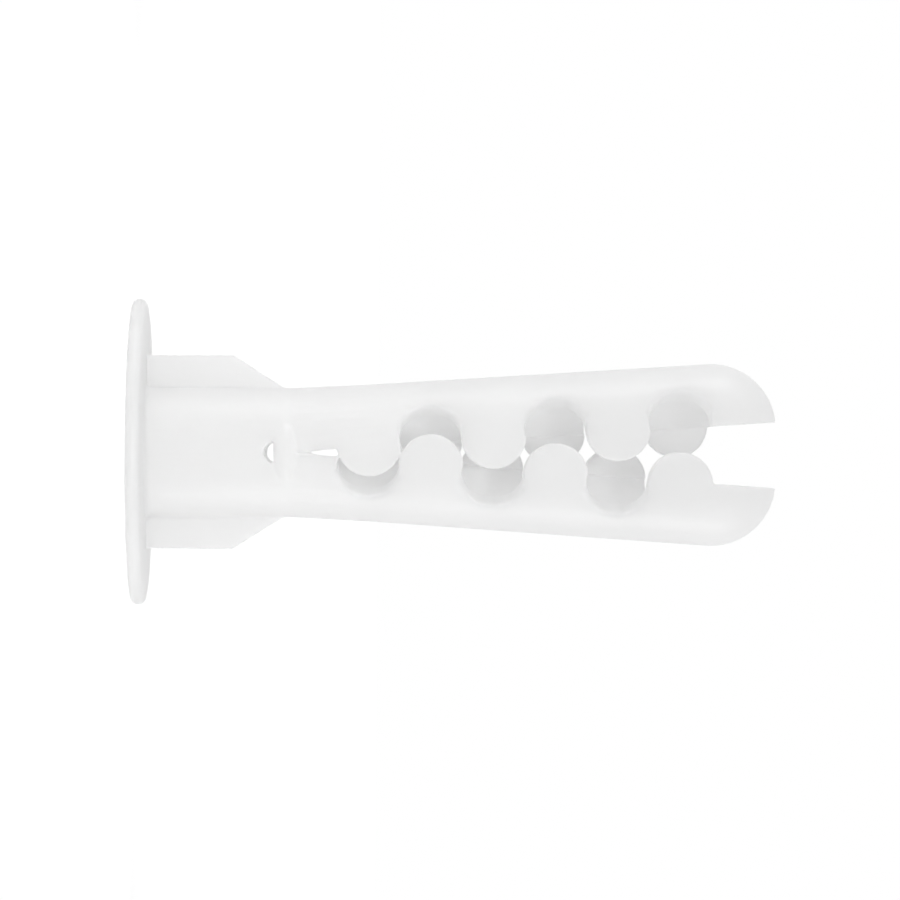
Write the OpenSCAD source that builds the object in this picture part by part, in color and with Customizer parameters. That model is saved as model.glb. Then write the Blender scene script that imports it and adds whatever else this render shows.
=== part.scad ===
// Flanged wall plug for an 8 mm hole, moulded in one piece from natural nylon.
// It stands on its flange with the two splayed legs up. The origin is the
// middle of the flange's outer face, and +Z runs along the plug to the tips.
// The legs spread along X, and their lobes are cut along Y.

/* [Flange] */
// Diameter of the flange that stays outside the wall
flange_d = 19.1; // [14:0.1:26]
// Thickness of the flange, whose rim is rounded from face to face
flange_t = 0.85; // [0.6:0.05:1.6]
// Radius of the fillet between the flange and the collar
root_fillet_r = 0.35; // [0.1:0.05:0.8]

/* [Collar] */
// Diameter of the collar, which fills the mouth of the drilled hole
collar_d = 8.1; // [6.6:0.1:10]
// Length of the collar above the flange
collar_l = 8.75; // [8.4:0.05:14]
// Step from the collar in to the roots of the legs
collar_ledge = 0.05; // [0.04:0.01:0.3]
// Length over which the width of the roots runs out along the legs
neck_l = 6; // [3:0.1:9]

/* [Screw hole] */
// Diameter of the screw hole through the flange and the collar
screw_hole_d = 5; // [3.6:0.1:5.6]
// Depth of the screw hole from the flange's outer face
screw_hole_l = 7.4; // [5:0.1:8]
// Width of the lead-in chamfer at the mouth of the screw hole
mouth_chamfer = 0.3; // [0.1:0.05:0.7]
// Diameter of the narrower channel that guides the screw between the legs
channel_d = 3.5; // [2.4:0.1:4]
// Length of the funnel from the screw hole to the channel
funnel_l = 1.2; // [0.6:0.1:2]

/* [Fins] */
// How far each of the two fins stands out of the collar
fin_h = 1.98; // [1:0.05:3]
// Thickness of a fin
fin_t = 1; // [0.6:0.05:1.6]
// Length of a fin's straight edge, before its sloping end
fin_straight_l = 5.45; // [3:0.05:6.5]
// Length of a fin's sloping end
fin_slope_l = 3.15; // [1:0.05:4]

/* [Slit root] */
// Diameter of the round hole that ends the slit between the legs
keyhole_d = 1.36; // [0.8:0.02:1.6]
// Height of that hole's axis above the flange
keyhole_h = 8.14; // [7.4:0.02:9]
// Width of the slit from that hole to the notch between the legs
slit_w = 0.12; // [0.08:0.02:0.3]
// Height above the flange at which the slit widens into the notch
notch_h = 10.3; // [9.6:0.05:11]
// Angle at which each side of the notch leans out
notch_deg = 9; // [8.5:0.5:14]
// Width of the half-round bridge that ties the legs together on one side
bridge_w = 1.46; // [1:0.02:1.8]
// Length of the bridge from end to end
bridge_l = 3.5; // [2:0.1:4.5]
// How far the bridge stands out of the collar
bridge_h = 0.4; // [0.1:0.02:0.6]
// Part of the round hole that the bridge leaves open, along the plug
keyhole_show = 0.56; // [0.3:0.02:0.9]

/* [Legs] */
// Diameter of the two legs when they are closed
leg_d = 7.8; // [6.4:0.1:9]
// Angle at which each leg leans out
splay_deg = 3.8; // [3.2:0.1:6]
// Height above the flange at which the planes of the two parting faces cross
pivot_h = 8.45; // [8:0.05:9]
// Length of a leg from there to the start of its round nose
leg_straight_l = 26.87; // [26.87:0.02:36]
// Radius of the nose's outline
nose_r = 4.05; // [3.95:0.05:4.4]
// How far the screw channel runs on into the nose
channel_nose_l = 1.4; // [0.6:0.1:2]

/* [Lobes] */
// Number of lobe stations along the legs
station_n = 6; // [2:1:6]
// Distance along a leg from where the parting faces' planes cross to the first station
station_start = 5.5; // [5.2:0.05:5.6]
// Distance from one station to the next
station_pitch = 3.86; // [3.76:0.02:3.86]
// Radius of a lobe at the middle plane of the plug
lobe_r = 2.04; // [1.7:0.01:2.05]
// How far a lobe's centre lies back behind its leg's parting face
lobe_set_back = 0.2; // [0.1:0.02:0.5]
// Play round a lobe in the recess that it closes into
recess_play = 0.05; // [0.04:0.01:0.3]
// How much nearer to the flange a recess lies than the lobe opposite
recess_shift = 0.04; // [0:0.01:0.1]
// Draft of the lobes and the recesses, from the middle plane outwards
draft_deg = 0.6; // [0.4:0.1:3]
// Lean of a recess towards the leg's back, from the middle plane outwards
recess_lean_deg = 10; // [0:0.5:12]
// How far a recess's centre lies in front of the parting face at the middle plane
recess_set_in = 0.2; // [0:0.02:0.4]
// Depth of the relief behind a lobe's inner face
lobe_relief = 0.3; // [0.1:0.05:0.6]

/* [Hidden] */
$fn = 96;

// How far a cut runs past the face that it opens
over = 0.5;

collar_r = collar_d / 2;
collar_top_z = flange_t + collar_l;
screw_hole_r = screw_hole_d / 2;
channel_r = channel_d / 2;
fin_foot_r = (screw_hole_r + collar_r) / 2;
fin_tip_r = collar_r + fin_h;
keyhole_z = flange_t + keyhole_h;
pivot_z = flange_t + pivot_h;
leg_r = leg_d / 2;
leg_root_r = collar_r - collar_ledge;

// The notch's sides reach the parting faces at its top. The cut runs on a little,
// so that nothing of the web is left there.
notch_run = 0.1;
notch_z = flange_t + notch_h;
notch_top_z = (slit_w / 2 + pivot_z * tan(splay_deg) - notch_z * tan(notch_deg))
    / (tan(splay_deg) - tan(notch_deg));
notch_top_w = 2 * (notch_top_z - pivot_z) * tan(splay_deg);
notch_end_z = notch_top_z + notch_run;
notch_end_w = notch_top_w + 2 * notch_run * tan(notch_deg);
web_top_z = notch_top_z + notch_run / 2;

// The bridge's lower edge leaves the stated part of the round hole open.
// Its crest is an arc that dips into the collar at both ends and stops inside.
bridge_bury_deg = 12;
bridge_r = bridge_w / 2;
bridge_z = keyhole_z - keyhole_d / 2 + keyhole_show + bridge_r;
bridge_sag = bridge_h + collar_r - sqrt(pow(collar_r, 2) - pow(bridge_l / 2, 2));
bridge_crest_r = (pow(bridge_l / 2, 2) + pow(bridge_sag, 2)) / (2 * bridge_sag);
bridge_half_deg = asin(bridge_l / 2 / bridge_crest_r) + bridge_bury_deg;

// A leg's foot reaches down into the collar, which carries it
leg_foot_l = pivot_z - collar_top_z + 2 * over;

// A recess starts where the next station's lobe leaves the parting face
lobe_root_half = sqrt(pow(lobe_r, 2) - pow(lobe_set_back, 2));
recess_r = station_pitch - lobe_root_half + recess_play;
draft_l = collar_r + over;
draft_step = draft_l * tan(draft_deg);

// Distance of station k along its leg
function station_s(k) = station_start + station_pitch * k;

// Side of the middle plane, along Y, on which station k has its lobe
function lobe_side(k) = k % 2 == 0 ? 1 : -1;

// Flat disc with a fully rounded rim
module flange_profile() {
    rim_r = flange_t / 2;
    square([flange_d / 2 - rim_r, flange_t]);
    translate([flange_d / 2 - rim_r, rim_r]) circle(r = rim_r);
}

module root_fillet_profile() {
    difference() {
        translate([fin_foot_r, flange_t / 2])
            square([collar_r + root_fillet_r - fin_foot_r, flange_t / 2 + root_fillet_r]);
        translate([collar_r + root_fillet_r, flange_t + root_fillet_r]) circle(r = root_fillet_r);
    }
}

module flange() {
    rotate_extrude() flange_profile();
    rotate_extrude() root_fillet_profile();
}

module collar() {
    cylinder(r = collar_r, h = collar_top_z);
}

// The two fins stop the plug from turning. Their ends slope in to the collar.
module fins() {
    slope_z = flange_t + fin_straight_l;
    for (turn = [0, 180]) rotate([0, 0, turn])
        rotate([90, 0, 0]) linear_extrude(height = fin_t, center = true) polygon([
            [fin_foot_r, flange_t / 2],
            [fin_tip_r, flange_t / 2],
            [fin_tip_r, slope_z],
            [collar_r, slope_z + fin_slope_l],
            [fin_foot_r, slope_z + fin_slope_l]
        ]);
}

// Screw hole with a chamfered mouth and a funnel into the narrower channel
module screw_way() {
    funnel_z = screw_hole_l + funnel_l;
    translate([0, 0, -over]) cylinder(r = screw_hole_r, h = screw_hole_l + over);
    translate([0, 0, -over])
        cylinder(r1 = screw_hole_r + mouth_chamfer + over, r2 = screw_hole_r, h = mouth_chamfer + over);
    translate([0, 0, screw_hole_l]) cylinder(r1 = screw_hole_r, r2 = channel_r, h = funnel_l);
    translate([0, 0, funnel_z]) cylinder(r = channel_r, h = notch_end_z - funnel_z);
}

// Web that joins the legs' parting faces below the notch
module root_web() {
    web_w = notch_end_w + 2 * slit_w;
    intersection() {
        cylinder(r = leg_r, h = web_top_z);
        translate([-web_w / 2, -leg_r, collar_top_z - over])
            cube([web_w, 2 * leg_r, web_top_z - collar_top_z + over]);
    }
}

// Round hole across the plug, the slit above it and the notch at its end
module slit_root() {
    rotate([90, 0, 0]) linear_extrude(height = 2 * (collar_r + over), center = true) {
        translate([0, keyhole_z]) circle(d = keyhole_d);
        polygon([
            [-slit_w / 2, keyhole_z],
            [slit_w / 2, keyhole_z],
            [slit_w / 2, notch_z],
            [notch_end_w / 2, notch_end_z],
            [-notch_end_w / 2, notch_end_z],
            [-slit_w / 2, notch_z]
        ]);
    }
}

// Half-round bar across the slit, highest in its middle
module bridge() {
    translate([0, bridge_crest_r - collar_r - bridge_h, bridge_z])
        rotate([0, 0, -90 - bridge_half_deg])
            rotate_extrude(angle = 2 * bridge_half_deg)
                translate([bridge_crest_r - bridge_r, 0]) circle(r = bridge_r);
}

// A leg's own frame has +Z along the leg and +X towards its back. Its parting
// face lies in the YZ plane, and its origin is where the two faces' planes cross.
// Half of the closed legs' section: wide at the foot, round at the nose
module leg_stock_profile() {
    polygon([
        [0, -leg_foot_l],
        [leg_root_r, -leg_foot_l],
        [leg_root_r, 0],
        [leg_r, neck_l],
        [leg_r, leg_straight_l],
        [0, leg_straight_l]
    ]);
    translate([0, leg_straight_l]) intersection() {
        translate([leg_r - nose_r, 0]) circle(r = nose_r);
        square([leg_r, nose_r]);
    }
}

module leg_back_half() {
    translate([0, -draft_l, -leg_foot_l])
        cube([draft_l, 2 * draft_l, leg_foot_l + leg_straight_l + nose_r + over]);
}

// Drafted bar from the middle plane outwards, which makes one lobe
module lobe(k) {
    translate([lobe_set_back, 0, station_s(k)]) rotate([-90 * lobe_side(k), 0, 0])
        cylinder(r1 = lobe_r, r2 = lobe_r - draft_step, h = draft_l);
}

// Drafted cut from the middle plane outwards, opposite the station's lobe
module recess(k) {
    side = -lobe_side(k);
    intersection() {
        leg_back_half();
        translate([-recess_set_in, 0, station_s(k) - recess_shift])
            rotate([0, 0, -side * recess_lean_deg]) rotate([-90 * side, 0, 0])
                cylinder(r1 = recess_r, r2 = recess_r + draft_step, h = draft_l);
    }
}

// Channel for the screw's point, which closes in the nose
module leg_channel() {
    translate([0, 0, -leg_foot_l - over]) cylinder(r = channel_r, h = leg_foot_l + over + leg_straight_l);
    translate([0, 0, leg_straight_l]) cylinder(r1 = channel_r, r2 = channel_r / 4, h = channel_nose_l);
}

// The lobes' inner faces lie a little behind the channel's wall
module lobe_reliefs() {
    relief_start = station_s(0) - lobe_r;
    relief_l = station_pitch * (station_n - 1) + 2 * lobe_r;
    difference() {
        translate([0, 0, relief_start]) cylinder(r = channel_r + lobe_relief, h = relief_l);
        leg_back_half();
    }
}

module leg() {
    difference() {
        intersection() {
            rotate_extrude() leg_stock_profile();
            difference() {
                union() {
                    leg_back_half();
                    for (k = [0 : station_n - 1]) lobe(k);
                }
                for (k = [0 : station_n - 1]) recess(k);
            }
        }
        leg_channel();
        lobe_reliefs();
    }
}

module legs() {
    for (turn = [0, 180]) rotate([0, 0, turn])
        translate([0, 0, pivot_z]) rotate([0, splay_deg, 0]) leg();
}

module wall_plug() {
    color("white") {
        difference() {
            union() {
                flange();
                collar();
                fins();
                root_web();
                legs();
            }
            screw_way();
            slit_root();
        }
        bridge();
    }
}

wall_plug();
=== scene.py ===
import math

import bmesh
import bpy
import numpy as np
from mathutils import Matrix, Vector

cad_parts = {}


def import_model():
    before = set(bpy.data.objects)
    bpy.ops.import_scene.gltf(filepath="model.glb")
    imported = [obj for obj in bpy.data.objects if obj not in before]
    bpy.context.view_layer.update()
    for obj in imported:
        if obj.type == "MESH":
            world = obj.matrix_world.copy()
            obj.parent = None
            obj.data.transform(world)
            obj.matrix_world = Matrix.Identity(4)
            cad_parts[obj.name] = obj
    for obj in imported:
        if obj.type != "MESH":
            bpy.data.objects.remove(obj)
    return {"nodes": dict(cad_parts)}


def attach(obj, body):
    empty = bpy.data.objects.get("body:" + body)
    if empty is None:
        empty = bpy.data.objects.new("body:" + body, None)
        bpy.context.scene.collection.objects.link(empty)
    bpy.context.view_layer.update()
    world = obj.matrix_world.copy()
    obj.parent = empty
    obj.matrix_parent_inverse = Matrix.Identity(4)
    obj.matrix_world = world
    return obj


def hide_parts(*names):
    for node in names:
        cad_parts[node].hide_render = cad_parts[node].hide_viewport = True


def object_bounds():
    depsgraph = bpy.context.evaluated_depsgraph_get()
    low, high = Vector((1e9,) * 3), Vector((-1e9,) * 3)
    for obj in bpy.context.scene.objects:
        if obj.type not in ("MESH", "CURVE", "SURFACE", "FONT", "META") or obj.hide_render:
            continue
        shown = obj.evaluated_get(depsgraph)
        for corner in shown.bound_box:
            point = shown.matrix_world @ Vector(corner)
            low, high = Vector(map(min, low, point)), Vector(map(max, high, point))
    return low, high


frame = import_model()
CAD_LOW, CAD_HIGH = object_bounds()

MM = 0.001
NODE = "wall_plug"

# The moulded skin: the CAD solid welded where its points lie within WELD, meshed again
# finely, smoothed, and thinned to a share of the fine mesh's triangles
WELD = 1e-7
VOXEL = 0.07 * MM
SMOOTH_FACTOR = 0.5
SMOOTH_STEPS = 6
KEEP_SHARE = 0.155

# Soft edges are smoothed more, in steps of strength from 0 to 1.
# Their sizes and places, down to BRIDGE_FADE, are in millimetres and follow the CAD's.
SOFT_EDGE_STEPS = 240
STRENGTHS = 10

# Outer rims of the recesses. A leg's own frame starts where the planes of the parting
# faces cross. The rounding fades within RIM_REACH of the rim and RIM_DEPTH of the leg's
# skin, and stays RIM_CLEAR behind the parting face.
RIM_REACH = 0.9
RIM_DEPTH = 1.2
RIM_GAIN = 2
RIM_CLEAR = 0.8
PIVOT_Z = 9.3
SPLAY_DEG = 3.8
LEG_R = 3.9
STATIONS = 6
STATION_START = 5.46
STATION_PITCH = 3.86
RECESS_R = 1.88
RECESS_SET_IN = 0.2
RECESS_LEAN_DEG = 10

# The step at the collar's end is 0.05 mm high, and is eased away from the fins and the bridge
LEDGE_Z = 9.6
LEDGE_R = 4.02
LEDGE_REACH = 0.55
LEDGE_DEPTH = 0.2
LEDGE_WEIGHT = 0.4
FIN_FADE = 1.0
BRIDGE_END = 1.4
BRIDGE_FADE = 0.6

# Natural nylon: its gloss, how deep light scatters in it, the share of the light that
# passes through its walls, its faint cloudiness and its fine grain
ROUGHNESS = 0.38
NYLON_IOR = 1.53
SCATTER_DEPTH = 2.4 * MM
THROUGH_SHARE = 0.42
THROUGH_GREY = 0.97
CLOUD_SCALE, CLOUD_DETAIL = 160.0, 3.0
CLOUD_STOPS = ((0.3, 0.970), (0.7, 0.985))
GRAIN_SCALE, GRAIN_DETAIL = 2600.0, 4.0
GRAIN_STRENGTH = 0.12
GRAIN_HEIGHT = 0.01 * MM

# The floor, and what it adds to its own light for the eye, from GLOW_START to GLOW_END
# metres away from the plug. Near the plug the sum is just white, so that its soft shadow
# still shows.
FLOOR_HALF = 6.0
FLOOR_GREY = 0.93
GLOW_START, GLOW_END = 0.03, 0.30
GLOW_NEAR, GLOW_FAR = 0.33, 0.52

# Studio light: an even room, a softbox on either side, and a small lamp on the collar
ROOM_STRENGTH = 0.56
SHOWN_STRENGTH = 1.0
SOFTBOXES = {"left_softbox": (-0.5, -0.05, 0.11), "right_softbox": (0.5, -0.05, 0.11)}
SOFTBOX_SIZE = 0.2
SOFTBOX_WATTS = 0.70
COLLAR_LIGHT_PLACE = (0, -0.28, 0.12)
COLLAR_LIGHT_AIM = (0, 0, 0.002)
COLLAR_LIGHT_SIZE = 0.06
COLLAR_LIGHT_WATTS = 0.0037
COLLAR_LIGHT_SPREAD_DEG = 10

# The photograph, 900 pixels square. The plug lies across it, flange at the left, with a
# small roll. The middle of the flange's outer face is at AXIS_PX before the roll.
PHOTO_PX = 900.0
PX_PER_MM = 16.0
AXIS_PX = (132.7, 453.1)
ROLL_DEG = 0.35
CAMERA_HEIGHT = 16 * MM
CAMERA_DISTANCE = 290 * MM
SENSOR_WIDTH = 36.0
CLIP_START, CLIP_END = 0.01, 100.0


def link(obj):
    bpy.context.scene.collection.objects.link(obj)
    return obj


def grey(level):
    return (level, level, level, 1)


def set_inputs(node, values):
    for name, value in values.items():
        node.inputs[name].default_value = value


def applied(obj):
    """A copy of the object's mesh with its modifiers applied."""
    graph = bpy.context.evaluated_depsgraph_get()
    return bpy.data.meshes.new_from_object(obj.evaluated_get(graph))


def fade(distance, reach):
    """1 at distance 0, falling to 0 at the reach."""
    return np.clip(1 - distance / reach, 0, 1)


def rim_weights(points):
    """How much each point, in millimetres, belongs to the outer rim of a recess."""
    weights = np.zeros(len(points))
    lean, splay = math.tan(math.radians(RECESS_LEAN_DEG)), math.radians(SPLAY_DEG)
    # One leg leans towards +X, and a half turn about Z gives the other
    for turn in (1, -1):
        x, y, z = turn * points[:, 0], turn * points[:, 1], points[:, 2] - PIVOT_Z
        back = x * math.cos(splay) - z * math.sin(splay)
        along = x * math.sin(splay) + z * math.cos(splay)
        skin = fade(np.abs(np.hypot(back, y) - LEG_R), RIM_DEPTH)
        for k in range(STATIONS):
            out = -y if k % 2 == 0 else y
            centre = lean * out - RECESS_SET_IN
            off = np.hypot(back - centre, along - STATION_START - STATION_PITCH * k)
            rim = fade(np.abs(off - RECESS_R), RIM_REACH)
            inside = (out > 0) & (back > RIM_CLEAR)
            strength = np.minimum(1, RIM_GAIN * skin * rim)
            weights = np.maximum(weights, np.where(inside, strength, 0))
    return weights


def ledge_weights(points):
    """How much each point, in millimetres, belongs to the step at the collar's end."""
    x, y, z = points.T
    skin = fade(np.abs(np.hypot(x, y) - LEDGE_R), LEDGE_DEPTH)
    fins = fade(np.abs(y), FIN_FADE)
    bridge = np.where(y < 0, fade(np.abs(x) - BRIDGE_END, BRIDGE_FADE), 0)
    ring = skin * fade(np.abs(z - LEDGE_Z), LEDGE_REACH)
    return LEDGE_WEIGHT * ring * (1 - np.maximum(fins, bridge))


def mark_soft_edges(obj):
    """Gives the object a vertex group of its soft edges, and returns the group's name."""
    mesh = obj.data
    points = np.empty(3 * len(mesh.vertices), dtype=np.float32)
    mesh.vertices.foreach_get("co", points)
    points = points.reshape(-1, 3) / MM
    weights = np.maximum(rim_weights(points), ledge_weights(points))
    levels = np.round(STRENGTHS * weights).astype(int)
    group = obj.vertex_groups.new(name="soft_edges")
    for level in range(1, STRENGTHS + 1):
        group.add(np.flatnonzero(levels == level).tolist(), level / STRENGTHS, "REPLACE")
    return group.name


def add_smoothing(obj, name, steps):
    smoothing = obj.modifiers.new(name, "SMOOTH")
    smoothing.factor = SMOOTH_FACTOR
    smoothing.iterations = steps
    return smoothing


def moulded_skin(node):
    """The node's solid as one even mesh with softly rounded edges."""
    source = bpy.data.meshes.new_from_object(frame["nodes"][node])
    welded = bmesh.new()
    welded.from_mesh(source)
    bmesh.ops.remove_doubles(welded, verts=welded.verts, dist=WELD)
    welded.to_mesh(source)
    welded.free()

    rough = link(bpy.data.objects.new("skin_rough", source))
    remesh = rough.modifiers.new("remesh", "REMESH")
    remesh.mode = "VOXEL"
    remesh.voxel_size = VOXEL
    work = link(bpy.data.objects.new("skin_work", applied(rough)))
    bpy.data.objects.remove(rough)

    soft_edges = mark_soft_edges(work)
    add_smoothing(work, "round_off", SOFT_EDGE_STEPS).vertex_group = soft_edges
    add_smoothing(work, "smooth", SMOOTH_STEPS)
    thin = work.modifiers.new("thin", "DECIMATE")
    thin.decimate_type = "COLLAPSE"
    thin.ratio = KEEP_SHARE

    skin = link(bpy.data.objects.new("moulded_plug", applied(work)))
    bpy.data.objects.remove(work)
    skin.data.shade_smooth()
    return skin


def noise(tree, where, scale, detail):
    """Noise in the object's own coordinates."""
    node = tree.nodes.new("ShaderNodeTexNoise")
    set_inputs(node, {"Scale": scale, "Detail": detail})
    tree.links.new(where.outputs["Object"], node.inputs["Vector"])
    return node.outputs["Fac"]


def natural_nylon():
    """Unpigmented nylon: satin, and light passes into it and through thin walls."""
    material = bpy.data.materials.new("natural_nylon")
    material.use_nodes = True
    tree = material.node_tree
    nodes, links = tree.nodes, tree.links
    shader = nodes["Principled BSDF"]
    shader.subsurface_method = "RANDOM_WALK"
    set_inputs(shader, {
        "Roughness": ROUGHNESS,
        "IOR": NYLON_IOR,
        "Subsurface Weight": 1.0,
        "Subsurface Radius": (1.0, 1.0, 1.0),
        "Subsurface Scale": SCATTER_DEPTH,
    })

    where = nodes.new("ShaderNodeTexCoord")
    tint = nodes.new("ShaderNodeValToRGB")
    for element, (position, level) in zip(tint.color_ramp.elements, CLOUD_STOPS):
        element.position = position
        element.color = grey(level)
    links.new(noise(tree, where, CLOUD_SCALE, CLOUD_DETAIL), tint.inputs["Fac"])
    links.new(tint.outputs["Color"], shader.inputs["Base Color"])

    bump = nodes.new("ShaderNodeBump")
    set_inputs(bump, {"Strength": GRAIN_STRENGTH, "Distance": GRAIN_HEIGHT})
    links.new(noise(tree, where, GRAIN_SCALE, GRAIN_DETAIL), bump.inputs["Height"])
    links.new(bump.outputs["Normal"], shader.inputs["Normal"])

    through = nodes.new("ShaderNodeBsdfTranslucent")
    set_inputs(through, {"Color": grey(THROUGH_GREY)})
    mix = nodes.new("ShaderNodeMixShader")
    set_inputs(mix, {"Fac": THROUGH_SHARE})
    links.new(shader.outputs["BSDF"], mix.inputs[1])
    links.new(through.outputs["BSDF"], mix.inputs[2])
    links.new(mix.outputs["Shader"], nodes["Material Output"].inputs["Surface"])
    return material


def any_ray(tree, *kinds):
    """1 where the light path is a ray of one of these kinds, 0 elsewhere."""
    path = tree.nodes.new("ShaderNodeLightPath")
    found = path.outputs[kinds[0]]
    for kind in kinds[1:]:
        either = tree.nodes.new("ShaderNodeMath")
        either.operation = "MAXIMUM"
        tree.links.new(found, either.inputs[0])
        tree.links.new(path.outputs[kind], either.inputs[1])
        found = either.outputs["Value"]
    return found


def show(tree, out, lit, shown, *kinds):
    """Sends the lit shader to the output, and the shown one to rays of these kinds."""
    pick = tree.nodes.new("ShaderNodeMixShader")
    tree.links.new(any_ray(tree, *kinds), pick.inputs["Fac"])
    tree.links.new(lit, pick.inputs[1])
    tree.links.new(shown, pick.inputs[2])
    tree.links.new(pick.outputs["Shader"], out.inputs["Surface"])


def pale_floor():
    """Plain diffuse, shown as pure white to the eye where nothing shades it."""
    material = bpy.data.materials.new("pale_floor")
    material.use_nodes = True
    tree = material.node_tree
    nodes, links = tree.nodes, tree.links
    nodes.clear()
    out = nodes.new("ShaderNodeOutputMaterial")
    diffuse = nodes.new("ShaderNodeBsdfDiffuse")
    set_inputs(diffuse, {"Color": grey(FLOOR_GREY)})

    where = nodes.new("ShaderNodeTexCoord")
    away = nodes.new("ShaderNodeVectorMath")
    away.operation = "LENGTH"
    grade = nodes.new("ShaderNodeMapRange")
    set_inputs(grade, {
        "From Min": GLOW_START,
        "From Max": GLOW_END,
        "To Min": GLOW_NEAR,
        "To Max": GLOW_FAR,
    })
    glow = nodes.new("ShaderNodeEmission")
    links.new(where.outputs["Object"], away.inputs[0])
    links.new(away.outputs["Value"], grade.inputs["Value"])
    links.new(grade.outputs["Result"], glow.inputs["Strength"])

    add = nodes.new("ShaderNodeAddShader")
    links.new(diffuse.outputs["BSDF"], add.inputs[0])
    links.new(glow.outputs["Emission"], add.inputs[1])
    lit, shown = diffuse.outputs["BSDF"], add.outputs["Shader"]
    show(tree, out, lit, shown, "Is Camera Ray", "Is Glossy Ray")
    return material


def floor():
    mesh = bpy.data.meshes.new("floor")
    corners = [(-1, -1), (1, -1), (1, 1), (-1, 1)]
    points = [(FLOOR_HALF * x, FLOOR_HALF * y, 0) for x, y in corners]
    mesh.from_pydata(points, [], [(0, 1, 2, 3)])
    mesh.materials.append(pale_floor())
    link(bpy.data.objects.new("floor", mesh))


def background(tree, strength):
    node = tree.nodes.new("ShaderNodeBackground")
    set_inputs(node, {"Color": grey(1), "Strength": strength})
    return node.outputs["Background"]


def world():
    """Even light from all sides, shown as pure white to the eye."""
    room = bpy.data.worlds.new("studio")
    bpy.context.scene.world = room
    room.use_nodes = True
    tree = room.node_tree
    tree.nodes.clear()
    out = tree.nodes.new("ShaderNodeOutputWorld")
    lit, shown = background(tree, ROOM_STRENGTH), background(tree, SHOWN_STRENGTH)
    show(tree, out, lit, shown, "Is Camera Ray", "Is Glossy Ray", "Is Transmission Ray")


def softbox(name, place, aim, size, watts, spread_deg=180):
    """Square area lamp. A narrow spread keeps its light on what it aims at."""
    place, aim = Vector(place), Vector(aim)
    data = bpy.data.lights.new(name, "AREA")
    data.shape = "SQUARE"
    data.size = size
    data.energy = watts
    data.spread = math.radians(spread_deg)
    lamp = link(bpy.data.objects.new(name, data))
    lamp.location = place
    lamp.rotation_euler = (aim - place).to_track_quat("-Z", "Y").to_euler()


def lamps():
    middle = (CAD_LOW + CAD_HIGH) / 2
    for name, place in SOFTBOXES.items():
        softbox(name, place, middle, SOFTBOX_SIZE, SOFTBOX_WATTS)
    softbox(
        "collar_light",
        COLLAR_LIGHT_PLACE,
        COLLAR_LIGHT_AIM,
        COLLAR_LIGHT_SIZE,
        COLLAR_LIGHT_WATTS,
        COLLAR_LIGHT_SPREAD_DEG,
    )


def camera():
    """Looks at the plug from its -Y side, with its axis lying across the picture."""
    data = bpy.data.cameras.new("camera")
    cam = link(bpy.data.objects.new("camera", data))
    data.sensor_width = SENSOR_WIDTH
    data.lens = SENSOR_WIDTH * CAMERA_DISTANCE / MM * PX_PER_MM / PHOTO_PX
    data.clip_start = CLIP_START
    data.clip_end = CLIP_END
    # Picture right is the plug's +Z and picture up is its -X, before the small roll
    right, up, back = Vector((0, 0, 1)), Vector((-1, 0, 0)), Vector((0, -1, 0))
    across = Matrix((right, up, back)).transposed().to_4x4()
    roll = Matrix.Rotation(math.radians(ROLL_DEG), 4, "Z")
    place = Matrix.Translation((0, -CAMERA_DISTANCE, CAMERA_HEIGHT))
    cam.matrix_world = place @ across @ roll
    # The shift centres the picture as the photograph does
    height_px = CAMERA_HEIGHT / MM * PX_PER_MM
    data.shift_x = (PHOTO_PX / 2 - AXIS_PX[0] - height_px) / PHOTO_PX
    data.shift_y = (AXIS_PX[1] - PHOTO_PX / 2) / PHOTO_PX
    bpy.context.scene.camera = cam


plug = moulded_skin(NODE)
plug.data.materials.clear()
plug.data.materials.append(natural_nylon())
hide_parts(NODE)
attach(plug, "root")

floor()
world()
lamps()
camera()

bpy.context.scene.view_settings.view_transform = "Standard"
